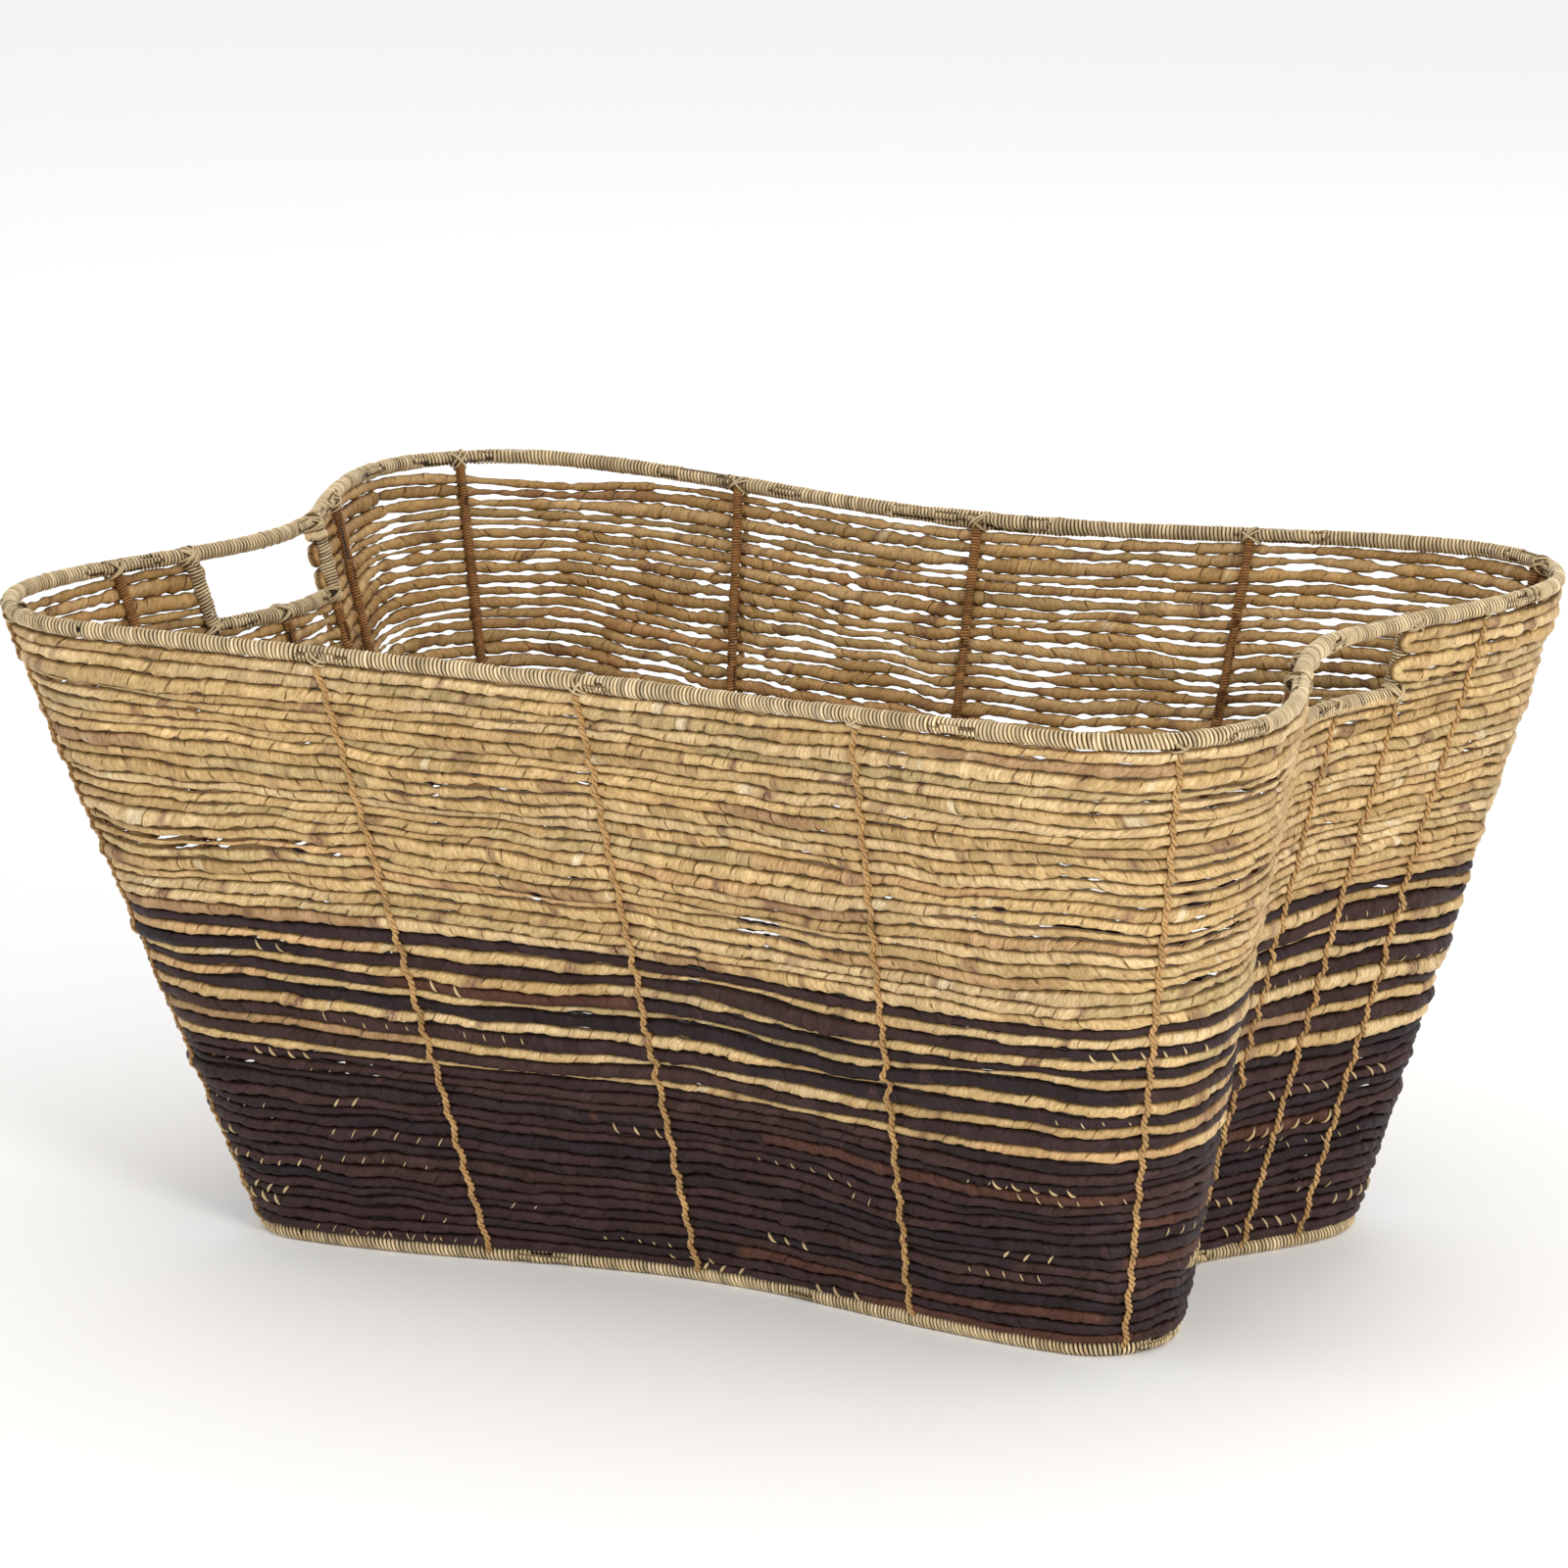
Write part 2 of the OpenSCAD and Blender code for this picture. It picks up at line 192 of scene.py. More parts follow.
def waves(count, shortest, longest, seed):
    """Smooth noise of about unit size along a closed course, one row for each of count courses."""
    local = np.random.default_rng(seed)
    low, high = max(1, round(GIRTH / longest)), max(2, round(GIRTH / shortest))
    cycles = np.unique(np.linspace(low, high, min(MOST_CYCLES, high - low + 1)).round().astype(int))
    size = local.normal(size=(count, len(cycles)))
    shift = local.uniform(0, TAU, size=(count, len(cycles)))
    total = (size[..., None] * np.cos(TAU * cycles[None, :, None] * AROUND + shift[..., None])).sum(1)
    return total / math.sqrt(len(cycles) / 2)


def hump(place, width):
    """A smooth hump of height 1 at a distance round the wall, in metres."""
    gap = np.abs((AROUND * GIRTH - place + GIRTH / 2) % GIRTH - GIRTH / 2)
    return np.exp(-(gap / width) ** 2)


def place_of(turn):
    """The distance round the wall at which a turn lies."""
    return np.interp((turn - START_TURN) % 8 + START_TURN, fine_turns, fine_length)


# ---------------------------------------------------------------------------------------------
# Meshes
# ---------------------------------------------------------------------------------------------
class Build:
    """Collects tubes with their rope coordinates and tints, and makes one mesh of them."""

    def __init__(self):
        self.points, self.faces, self.rope, self.twist, self.tint = [], [], [], [], []
        self.count = 0

    def add(self, points, faces, rope, twist, tint):
        self.points.append(points)
        self.faces.append(faces + self.count)
        self.rope.append(rope)
        self.twist.append(twist)
        self.tint.append(tint)
        self.count += len(points)

    def tube(self, path, across, up, radius, tint, twist, closed=False, sides=12, relief=None):
        """A tube along path. across and up are the section's axes; radius is one number, or one a ring."""
        rings = len(path)
        angle = np.arange(sides) * TAU / sides
        radius = np.asarray(radius, float)
        radius = np.broadcast_to(radius[:, None] if radius.ndim else radius, (rings, sides))
        if relief is not None:
            radius = radius + relief(angle, twist)
        along = distances(path)
        ring = (across[:, None, :] * np.cos(angle)[None, :, None]
                + up[:, None, :] * np.sin(angle)[None, :, None])
        points = path[:, None, :] + ring * radius[..., None]
        i = np.arange(rings - 1)
        j = np.arange(sides)
        a, b = i[:, None] * sides, (i[:, None] + 1) * sides
        k = (j + 1) % sides
        middle = rings // 2
        way = path[min(middle + 1, rings - 1)] - path[middle - 1]
        outward = float(np.cross(across[middle], up[middle]) @ way) > 0
        if not outward:
            j, k = k, j
        quads = np.stack([a + j, a + k, b + k, b + j], -1).reshape(-1, 4)
        rope = np.zeros((rings, sides, 3))
        rope[..., 0] = along[:, None]
        rope[..., 1] = np.cos(angle)
        rope[..., 2] = np.sin(angle)
        points = points.reshape(-1, 3)
        rope = rope.reshape(-1, 3)
        twists = np.repeat(twist, sides)
        tints = np.repeat(np.asarray(tint, float).reshape(rings, 3), sides, axis=0)
        if not closed:
            ends = path[[0, -1]]
            first, last = rings * sides, rings * sides + 1
            points = np.vstack([points, ends])
            rope = np.vstack([rope, [[along[0], 1, 0], [along[-1], 1, 0]]])
            twists = np.r_[twists, twist[0], twist[-1]]
            tints = np.vstack([tints, tints[0], tints[rings * sides - 1]])
            tail = (rings - 1) * sides
            caps = np.array(
                [[first, k[n], j[n], j[n]] for n in range(sides)]
                + [[last, tail + j[n], tail + k[n], tail + k[n]] for n in range(sides)]
            )
            quads = np.vstack([quads, caps])
        self.add(points, quads, rope, twists, tints)

    def piece(self, name, material, slot, *nodes):
        """Make the mesh. nodes are the CAD nodes that it replaces."""
        points = np.vstack(self.points)
        quads = np.vstack(self.faces)
        mesh = bpy.data.meshes.new(name)
        faces = [tuple(q[:3]) if q[2] == q[3] else tuple(q) for q in quads.tolist()]
        mesh.from_pydata(points.tolist(), [], faces)
        tints = np.hstack([np.vstack(self.tint), np.ones((len(points), 1))])
        for label, kind, key, values in (
            ("rope", "FLOAT_VECTOR", "vector", np.vstack(self.rope)),
            ("twist", "FLOAT", "value", np.concatenate(self.twist)),
            ("tint", "FLOAT_COLOR", "color", tints),
        ):
            mesh.attributes.new(label, kind, "POINT").data.foreach_set(key, values.ravel())
        mesh.polygons.foreach_set("use_smooth", np.ones(len(faces), bool))
        mesh.materials.append(material)
        mesh.validate()
        mesh.update()
        made = bpy.data.objects.new(name, mesh)
        bpy.context.scene.collection.objects.link(made)
        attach(made, "root")
        if nodes:
            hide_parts(*nodes)


def frames_along(path, hint):
    """Section axes for a path: across points along hint as nearly as the path allows."""
    ahead = unit(np.gradient(path, axis=0))
    across = unit(hint - (hint * ahead).sum(1, keepdims=True) * ahead)
    return across, np.cross(ahead, across)


# ---------------------------------------------------------------------------------------------
# Colours, as the eye sees them, turned into the linear values that shaders take
# ---------------------------------------------------------------------------------------------
def linear(*rgb):
    c = np.array(rgb, float) / 255
    return np.where(c <= 0.04045, c / 12.92, ((c + 0.055) / 1.055) ** 2.4)


NATURAL_TINTS = [linear(*c) for c in (
    (205, 174, 123), (213, 184, 137), (194, 162, 112), (193, 168, 120), (199, 162, 115), (170, 136, 98),
)]
NATURAL_ODDS = (0.35, 0.24, 0.22, 0.08, 0.07, 0.04)
DARK_TINTS = [linear(*c) for c in ((55, 38, 37), (49, 35, 36), (62, 43, 40), (42, 31, 33), (82, 52, 42))]
DARK_ODDS = (0.36, 0.28, 0.18, 0.15, 0.03)
TWINE = linear(216, 195, 158)
BROWN_TWINE = linear(150, 106, 62)
LASHING = linear(184, 146, 96)

# Leaf strips of each rope: tints and their odds, shortest and longest strip, tightest and loosest pitch
NATURAL_LEAF = (NATURAL_TINTS, NATURAL_ODDS, 0.04, 0.20, 7.5 * MM, 14 * MM)
DARK_LEAF = (DARK_TINTS, DARK_ODDS, 0.09, 0.34, 11 * MM, 16 * MM)
# Winds between the counts of one rope and the next, so that no two ropes have the same tones
WINDS_APART = 190
PITCH_WAVE = 47 * MM
STRIP_END = 3 * MM
TINT_BLUR = 9


def leaf_runs(local, number, length, rings, leaf):
    """Tint, twist and strip ends of rope number: each leaf strip has its own tint and pitch."""
    tints, odds, shortest, longest, tight, loose = leaf
    cuts = [0.0]
    while cuts[-1] < length:
        cuts.append(cuts[-1] + local.uniform(shortest, longest))
    spots = np.linspace(0, length, rings)
    run = np.searchsorted(cuts, spots, side="right") - 1
    choice = local.choice(len(tints), size=len(cuts) + 1, p=odds)
    strength = local.normal(1.0, 0.06, size=len(cuts) + 1)
    tint = np.array(tints)[choice[run]] * strength[run][:, None]
    pitch = local.uniform(tight, loose, size=len(cuts) + 1)[run]
    wave = np.sin(TAU * spots / PITCH_WAVE + local.uniform(0, TAU))
    pitch = pitch * np.exp(0.28 * wave * local.uniform(0.5, 1))
    hand = local.choice((-1, 1), p=(0.35, 0.65))
    step = length / max(rings - 1, 1)
    twist = hand * (np.cumsum(TAU * step / pitch) + TAU * WINDS_APART * number)
    edge = np.zeros(rings)
    for cut in cuts[1:-1]:
        edge += np.exp(-((spots - cut) / STRIP_END) ** 2)
    soft = np.hanning(TINT_BLUR) / np.hanning(TINT_BLUR).sum()
    for c in range(3):
        tint[:, c] = np.convolve(np.pad(tint[:, c], TINT_BLUR // 2, mode="edge"), soft, mode="valid")
    return tint, twist, edge


def strip_relief(height):
    """Every wind of a leaf strip puffs up a little and steps over the one before."""
    def relief(angle, twist):
        turn = (angle[None, :] - np.pi / 2 - twist[:, None]) / TAU
        saw = turn - np.floor(turn)
        return height * (saw - 0.5) + height * 0.8 * (1 - (2 * saw - 1) ** 2) - height * 0.5
    return relief


# ---------------------------------------------------------------------------------------------
# Materials
# ---------------------------------------------------------------------------------------------
class Nodes:
    """A short way to write a node tree."""

    def __init__(self, name):
        self.material = bpy.data.materials.new(name)
        self.material.use_nodes = True
        self.tree = self.material.node_tree
        self.tree.nodes.clear()
        self.out = self.tree.nodes.new("ShaderNodeOutputMaterial")
        self.shader = self.tree.nodes.new("ShaderNodeBsdfPrincipled")
        self.tree.links.new(self.shader.outputs[0], self.out.inputs[0])

    def put(self, socket, value):
        if isinstance(value, bpy.types.NodeSocket):
            self.tree.links.new(value, socket)
        else:
            socket.default_value = value

    def node(self, kind, inputs=(), **settings):
        made = self.tree.nodes.new(kind)
        for key, value in settings.items():
            setattr(made, key, value)
        for key, value in dict(inputs).items():
            self.put(made.inputs[key], value)
        return made

    def math(self, operation, a, b=0.0):
        return self.node("ShaderNodeMath", {0: a, 1: b}, operation=operation).outputs[0]

    def spread(self, value, from_low, from_high, low, high):
        """value, taken from one range to another."""
        inputs = {0: value, 1: from_low, 2: from_high, 3: low, 4: high}
        return self.node("ShaderNodeMapRange", inputs).outputs[0]

    def position(self):
        return self.node("ShaderNodeNewGeometry").outputs["Position"]

    def ramp(self, value, *stops):
        made = self.node("ShaderNodeValToRGB", {0: value})
        ramp = made.color_ramp
        while len(ramp.elements) < len(stops):
            ramp.elements.new(0.5)
        for element, (position, level) in zip(ramp.elements, stops):
            element.position = position
            element.color = (level, level, level, 1)
        return made.outputs[0]

    def attribute(self, name):
        return self.node("ShaderNodeAttribute", attribute_name=name)

    def noise(self, vector, scale, detail=3.0, roughness=0.55):
        inputs = {"Vector": vector, "Scale": scale, "Detail": detail, "Roughness": roughness}
        return self.node("ShaderNodeTexNoise", inputs).outputs[0]

    def mix(self, factor, a, b, blend="MIX"):
        made = self.tree.nodes.new("ShaderNodeMix")
        made.data_type = "RGBA"
        made.blend_type = blend
        self.put(made.inputs[0], factor)
        self.put(made.inputs[6], a)
        self.put(made.inputs[7], b)
        return made.outputs[2]


def rope_material(name, seam_dark, fibre_low, fibre_high, roughness, bump, cells=5.0, patch=None,
                  patch_odds=0.6, painted_crevice_shade=0.62, inner_shade=(0.77, 0.68, 0.57), tone=0.12, edge=0.72,
                  shine=0.22, pale=None):
    """Leaf or twine: tint from the mesh, a tone for every wind, fibres along the winding, dark seams, and
    painted shade in the crevices between ropes and on each rope's inward-facing side.
    """
    n = Nodes(name)
    rope = n.node("ShaderNodeSeparateXYZ", {0: n.attribute("rope").outputs["Vector"]})
    _, cosine, sine = rope.outputs
    twist = n.attribute("twist").outputs["Fac"]
    angle = n.math("ARCTAN2", n.math("MULTIPLY", cosine, -1.0), sine)
    turns = n.math("DIVIDE", n.math("SUBTRACT", angle, twist), TAU)
    saw = n.math("FRACT", turns)
    wind = n.math("FLOOR", turns)
    own = n.node("ShaderNodeTexWhiteNoise", {"W": wind}, noise_dimensions="1D").outputs[0]
    place = n.position()
    wound = n.node("ShaderNodeCombineXYZ", {
        0: n.math("MULTIPLY", turns, cells), 1: cosine, 2: sine}).outputs[0]
    fibre = n.noise(wound, 1.0, 3.0, 0.65)
    blotch = n.noise(place, 60.0, 3.0, 0.6)
    wobble = n.math("MULTIPLY", n.math("SUBTRACT", n.noise(place, 260.0, 1.0), 0.5), 0.12)
    seam = n.ramp(n.math("FRACT", n.math("ADD", saw, wobble)),
                  (0.0, 1.0), (0.05, 0.0), (0.89, 0.0), (0.97, 1.0))
    broken = n.ramp(n.noise(place, 110.0, 2.0), (0.50, 0.04), (0.64, 1.0))
    seam = n.math("MULTIPLY", seam, broken)
    tone_and_painted_shade = n.spread(fibre, 0.28, 0.72, fibre_low, fibre_high)
    tone_and_painted_shade = n.math("MULTIPLY", tone_and_painted_shade, n.spread(blotch, 0.25, 0.75, 0.86, 1.12))
    tone_and_painted_shade = n.math("MULTIPLY", tone_and_painted_shade, n.spread(own, 0.0, 1.0, 1 - tone, 1 + tone))
    tone_and_painted_shade = n.math("MULTIPLY", tone_and_painted_shade, n.math("SUBTRACT", 1.0, n.math("MULTIPLY", seam, seam_dark)))
    # Painted shade in the crevices: the top and bottom of each rope, where it meets the next course, are
    # darkened.
    side = n.ramp(n.math("ABSOLUTE", sine), (edge, 0.0), (0.98, 1.0))
    tone_and_painted_shade = n.math("MULTIPLY", tone_and_painted_shade, n.math("SUBTRACT", 1.0, n.math("MULTIPLY", side, painted_crevice_shade)))
    # The tone, painted crevice shade included, turns browner as it darkens, so the painted shade comes out
    # brown.
    tone_and_shade_colour = n.node("ShaderNodeCombineColor", {
        0: tone_and_painted_shade, 1: n.math("POWER", tone_and_painted_shade, 1.15), 2: n.math("POWER", tone_and_painted_shade, 1.45)}).outputs[0]
    colour = n.attribute("tint").outputs["Color"]
    if patch is not None:
        spot = n.node("ShaderNodeCombineXYZ", {0: n.math("MULTIPLY", turns, 0.37)}).outputs[0]
        mask = n.ramp(n.noise(spot, 1.0, 2.0), (patch_odds, 0.0), (patch_odds + 0.07, 1.0))
        streaks = n.ramp(fibre, (0.42, 0.20), (0.56, 1.0))
        colour = n.mix(n.math("MULTIPLY", mask, streaks), colour, (*patch.tolist(), 1))
    if pale is not None:
        spot = n.node("ShaderNodeCombineXYZ", {0: n.math("MULTIPLY", turns, 0.6), 1: 7.3}).outputs[0]
        mask = n.ramp(n.noise(spot, 1.0, 1.0), (0.70, 0.0), (0.75, 0.8))
        colour = n.mix(mask, colour, (*pale.tolist(), 1))
    colour = n.mix(1.0, colour, tone_and_shade_colour, "MULTIPLY")
    # Painted shade: each rope's inward-facing side (for twine, the side towards its wire) is darkened and
    # made browner.
    inner_shade_mask = n.ramp(cosine, (0.0, 1.0), (0.3, 0.0))
    colour = n.mix(inner_shade_mask, colour, n.mix(1.0, colour, (*inner_shade, 1), "MULTIPLY"))
    n.put(n.shader.inputs["Base Color"], colour)
    n.put(n.shader.inputs["Roughness"], n.spread(fibre, 0.3, 0.7, roughness - 0.08, roughness + 0.12))
    n.shader.inputs["Specular IOR Level"].default_value = shine
    relief = n.math("SUBTRACT", fibre, n.math("MULTIPLY", seam, 0.9))
    lift = n.node("ShaderNodeBump", {"Strength": bump, "Distance": 0.0006, "Height": relief})
    n.put(n.shader.inputs["Normal"], lift.outputs[0])
    return n.material


def wire_material():
    n = Nodes("frame_wire")
    place = n.position()
    spots = n.noise(place, 120.0, 4.0, 0.6)
    steel, rust = (*linear(66, 62, 60), 1), (*linear(96, 66, 44), 1)
    colour = n.mix(n.ramp(spots, (0.50, 0.0), (0.72, 1.0)), steel, rust)
    n.put(n.shader.inputs["Base Color"], colour)
    n.shader.inputs["Metallic"].default_value = 0.7
    n.put(n.shader.inputs["Roughness"], n.spread(spots, 0.0, 1.0, 0.35, 0.7))
    return n.material


def floor_material():
    n = Nodes("studio_floor")
    n.shader.inputs["Base Color"].default_value = (0.96, 0.96, 0.955, 1)
    n.shader.inputs["Roughness"].default_value = 0.7
    return n.material


NATURAL_ROPE = rope_material("natural_rope", 0.74, 0.55, 1.24, 0.52, 0.8, cells=7.0,
                             patch=linear(122, 86, 68), patch_odds=0.575, pale=linear(226, 208, 172))
DARK_ROPE = rope_material("dark_rope", 0.45, 0.62, 1.36, 0.50, 0.8, cells=7.0, patch=linear(82, 55, 45),
                          patch_odds=0.63, inner_shade=(0.9, 0.85, 0.8), tone=0.16, shine=0.14)
TWINE_MATERIAL = rope_material("seagrass_twine", 0.35, 0.76, 1.18, 0.66, 0.5, painted_crevice_shade=0.74,
                               inner_shade=(0.6, 0.5, 0.4), edge=0.30)
BROWN_MATERIAL = rope_material("brown_twine", 0.35, 0.72, 1.2, 0.62, 0.5, painted_crevice_shade=0.5)
LASHING_MATERIAL = rope_material("lashing_cord", 0.45, 0.70, 1.2, 0.58, 0.5, painted_crevice_shade=0.5,
                                 inner_shade=(1.0, 1.0, 1.0))
WIRE_MATERIAL = wire_material()

# ---------------------------------------------------------------------------------------------
# The courses: thickness of every course at every station, stacked so that they fill the wall
# ---------------------------------------------------------------------------------------------
NATURAL, DARK = 0, 1
KINDS = ([DARK] * DARK_COURSES + [NATURAL, DARK] * (STRIPED_COURSES // 2)
         + [NATURAL] * (NATURAL_COURSES + TOP_COURSES))
COURSES = len(KINDS)
FIRST_STRIPED = DARK_COURSES
FIRST_NATURAL = DARK_COURSES + STRIPED_COURSES
FIRST_TOP = FIRST_NATURAL + NATURAL_COURSES


def stack_group(first, count, low, high, seed):
    """Centre shares and thicknesses, in shares, of one group of courses between two height shares."""
    local = np.random.default_rng(seed)
    thick = 1 + 0.10 * waves(count, 0.2, 0.9, seed + 1) + 0.055 * waves(count, 0.05, 0.2, seed + 2)
    thick *= local.normal(1.0, 0.09, size=(count, 1))
    for i in range(count):
        if first == FIRST_STRIPED and KINDS[first + i] == NATURAL:
            thick[i] *= 0.98
            for spot in [place_of(0.64) + local.normal(0, 0.03)] + list(local.uniform(0, GIRTH, size=3)):
                thick[i] *= 1 - local.uniform(0.5, 0.97) * hump(spot, local.uniform(0.03, 0.09))
        else:
            thick[i] *= 1.10 if first == FIRST_STRIPED else 1
            for _ in range(3):
                change = local.choice([-0.38, 0.26])
                thick[i] *= 1 + change * hump(local.uniform(0, GIRTH), local.uniform(0.03, 0.08))
    thick = np.clip(thick, 0.06, 1.7)
    edges = np.cumsum(np.vstack([np.zeros(STATIONS), thick]), axis=0)
    edges = low + (high - low) * edges / edges[-1]
    return (edges[1:] + edges[:-1]) / 2, np.diff(edges, axis=0)


# Height shares of the lines between the groups. The striped band rises at the right end, and the top
# courses dip at some lobes and a little behind.
DRIFT = 0.004
RIGHT_END_RISE = 0.042
dark_edge = DARK_TOP + DRIFT * waves(1, 0.4, 1.1, 5)[0]
striped_edge = STRIPED_TOP + DRIFT * waves(1, 0.4, 1.1, 6)[0] + RIGHT_END_RISE * hump(place_of(2.8), 0.14)
split_edge = np.full(STATIONS, SILL_SHARE + 0.004)
LOBE_DIPS = ((3.0, 0.004), (5.1, 0.022), (7.0, 0.009))
lobe_gaps = sum(deep * hump(place_of(turn), 0.05) for turn, deep in LOBE_DIPS)
high_edge = WEAVE_HIGH - lobe_gaps - 0.005 * hump(place_of(4.7), 0.2)

centre = np.zeros((COURSES, STATIONS))
thickness = np.zeros((COURSES, STATIONS))
for first, count, low, high, seed in (
    (0, DARK_COURSES, np.full(STATIONS, WEAVE_LOW), dark_edge, 100),
    (FIRST_STRIPED, STRIPED_COURSES, dark_edge, striped_edge, 200),
    (FIRST_NATURAL, NATURAL_COURSES, striped_edge, split_edge, 300),
    (FIRST_TOP, TOP_COURSES, split_edge, high_edge, 400),
):
    group_centre, group_thick = stack_group(first, count, low, high, seed)
    centre[first:first + count] = group_centre
    thickness[first:first + count] = group_thick

# The wall's height along its slope, at the middle of the front
SLANT = float(np.linalg.norm(wall(np.array(0.5), np.array(1.0)) - wall(np.array(0.5), np.array(0.0))))
squeeze = sum(hump(place_of(t), 5 * MM) for t in ALL_TURNS)
radius = thickness * SLANT / 2 * 0.97
lumps = 0.045 * waves(COURSES, 0.008, 0.020, 31) + 0.05 * waves(COURSES, 0.02, 0.07, 34)
lumps *= np.clip(thickness * SLANT / ROPE_D, 0.2, 1)

# Slits between the courses: few in front, many at the back and the left end
SLIT_TURNS = (0.0, 0.9, 1.5, 2.5, 3.2, 3.7, 5.3, 5.8, 6.6, 7.2, 7.6, 8.0)
SLIT_LEVEL = (-1.45, -1.5, -1.5, -1.3, -1.0, -0.35, -0.4, -0.4, -0.4, -0.9, -1.3, -1.45)
slit_level = np.interp(TURNS, SLIT_TURNS, SLIT_LEVEL)
slits = waves(COURSES, 0.05, 0.24, 32) + 0.45 * waves(COURSES, 0.012, 0.04, 33)
slits = np.clip((slits + slit_level) * 1.8, 0, 1.0) * 1.7 * MM
slits[FIRST_TOP - 5:] *= 1 + 0.35 * hump(place_of(3.75), 0.16)
slits[:FIRST_STRIPED] *= 0.6
LONG_SLITS = 22
local = np.random.default_rng(41)
long_slits = [(FIRST_STRIPED - 3, 7.88, 0.030), (FIRST_STRIPED - 2, 0.14, 0.045), (12, 0.45, 0.02)]
for _ in range(LONG_SLITS):
    row = int(local.integers(FIRST_NATURAL, FIRST_TOP + 1))
    long_slits.append((row, local.uniform(-1.3, 2.6) % 8, local.uniform(0.02, 0.06)))
for row, turn, wide in long_slits:
    slits[row] += local.uniform(1.3, 2.2) * MM * hump(place_of(turn), wide)
slits[-1] = 0
slits *= 1 - np.clip(squeeze, 0, 1)

radius = radius * (1 + lumps) - slits / 2 - np.vstack([np.zeros(STATIONS), slits[:-1]]) / 2
radius = np.maximum(radius * (1 - 0.10 * squeeze), 0.35 * MM)
between = np.min(np.abs((TURNS[:, None] - ALL_TURNS[None, :] + 4) % 8 - 4), axis=1)
push = (0.30 * waves(COURSES, 0.03, 0.3, 33) - 0.5 * squeeze + 0.5 * np.clip(between / 0.12, 0, 1)) * MM
sway = 0.16 * MM / SLANT * waves(COURSES, 0.02, 0.06, 35)
centre = centre + sway


def course_path(i, picks):
    """Centre line and section axes of course i at some stations."""
    turn, share = TURNS[picks], centre[i, picks]
    ahead, up, out = wall_axes(turn, share)
    path = wall(turn, share) + out * (COURSE_OFF + push[i, picks])[:, None]
    return path, out, up, ahead


def course_look(i, length, rings):
    """Tint, twist and strip ends of course i."""
    leaf = DARK_LEAF if KINDS[i] == DARK else NATURAL_LEAF
    return leaf_runs(np.random.default_rng(1000 + i), i, length, rings, leaf)


def course_relief(size):
    """The relief is less where a course is thin."""
    bold = np.clip(size / (ROPE_D / 2), 0, 1)[:, None]
    plain = strip_relief(0.34 * MM)
    return lambda angle, twist: plain(angle, twist) * bold


def swollen(size, edge):
    """A rope is a little thicker where one leaf strip ends and the next begins."""
    return size * (1 + 0.07 * np.clip(edge, 0, 1))


def closed_course(build, i):
    """A course that runs all the way round."""
    picks = np.r_[np.arange(STATIONS), 0]
    path, out, up, _ = course_path(i, picks)
    tint, twist, edge = course_look(i, GIRTH, STATIONS + 1)
    size = radius[i, picks]
    build.tube(path, out, up, swollen(size, edge), tint, twist, closed=True, relief=course_relief(size))


def serpentine(build, courses, first_turn, last_turn):
    """The courses beside the hand-holds: one rope to and fro between two posts, bent round each post."""
    span = (last_turn - first_turn) % 8
    picks = np.nonzero(((TURNS - first_turn) % 8) <= span)[0]
    picks = picks[np.argsort((TURNS[picks] - first_turn) % 8)]
    lines, outs, sizes = [], [], []
    for row, i in enumerate(courses):
        line, out, _, ahead = course_path(i, picks)
        size = radius[i, picks]
        if row % 2:
            line, out, ahead, size = line[::-1], out[::-1], -ahead[::-1], size[::-1]
        if row:
            gap = line[0] - lines[-1][-1]
            reach = -ahead[0] * (3.2 * MM + np.linalg.norm(gap) / 2) - out[0] * 1.2 * MM
            bend = np.linspace(0, np.pi, 11)[1:-1, None]
            lines.append(lines[-1][-1] + gap * (1 - np.cos(bend)) / 2 + reach * np.sin(bend))
            outs.append(np.repeat(out[:1], len(bend), 0))
            sizes.append(np.full(len(bend), (sizes[-1][-1] + size[0]) / 2))
        lines.append(line)
        outs.append(out)
        sizes.append(size)
    last_way = lines[-1][-1] - lines[-1][-2]
    tail = np.linspace(0, np.pi * 0.8, 7)[1:, None]
    turn_r = COURSE_OFF + STAKE_IN
    hub = lines[-1][-1] - outs[-1][-1] * turn_r
    lines.append(hub + turn_r * (np.cos(tail) * outs[-1][-1] + 0.7 * np.sin(tail) * unit(last_way)))
    outs.append(np.cos(tail) * outs[-1][-1] + np.sin(tail) * unit(last_way))
    sizes.append(sizes[-1][-1] * np.linspace(1, 0.7, len(tail)))
    path, size = np.vstack(lines), np.concatenate(sizes)
    across, up = frames_along(path, np.vstack(outs))
    length = float(np.linalg.norm(np.diff(path, axis=0), axis=1).sum())
    tint, twist, edge = course_look(courses[0], length, len(path))
    build.tube(path, across, up, swollen(size, edge), tint, twist, relief=course_relief(size))


def course_groups(first, count, groups):
    """Split some courses into groups of nearly equal size, as the CAD bands are."""
    cuts = np.linspace(first, first + count, groups + 1).round().astype(int)
    return [range(cuts[g], cuts[g + 1]) for g in range(groups)]


for label, first, count, groups, slot in (
    ("dark_courses", 0, DARK_COURSES, 4, "dark_rope"),
    ("striped_courses", FIRST_STRIPED, STRIPED_COURSES, 3, "striped_rope"),
    ("natural_courses", FIRST_NATURAL, NATURAL_COURSES, 5, "natural_rope"),
):
    for g, members in enumerate(course_groups(first, count, groups), start=1):
        for kind, suffix in ((NATURAL, "natural"), (DARK, "dark")):
            chosen = [i for i in members if KINDS[i] == kind]
            if not chosen:
                continue
            build = Build()
            for i in chosen:
                closed_course(build, i)
            material = DARK_ROPE if kind == DARK else NATURAL_ROPE
            name = f"{label}_{g}_{suffix}_rope" if label == "striped_courses" else f"{label}_{g}_rope"
            build.piece(name, material, slot, f"{label}_{g}")

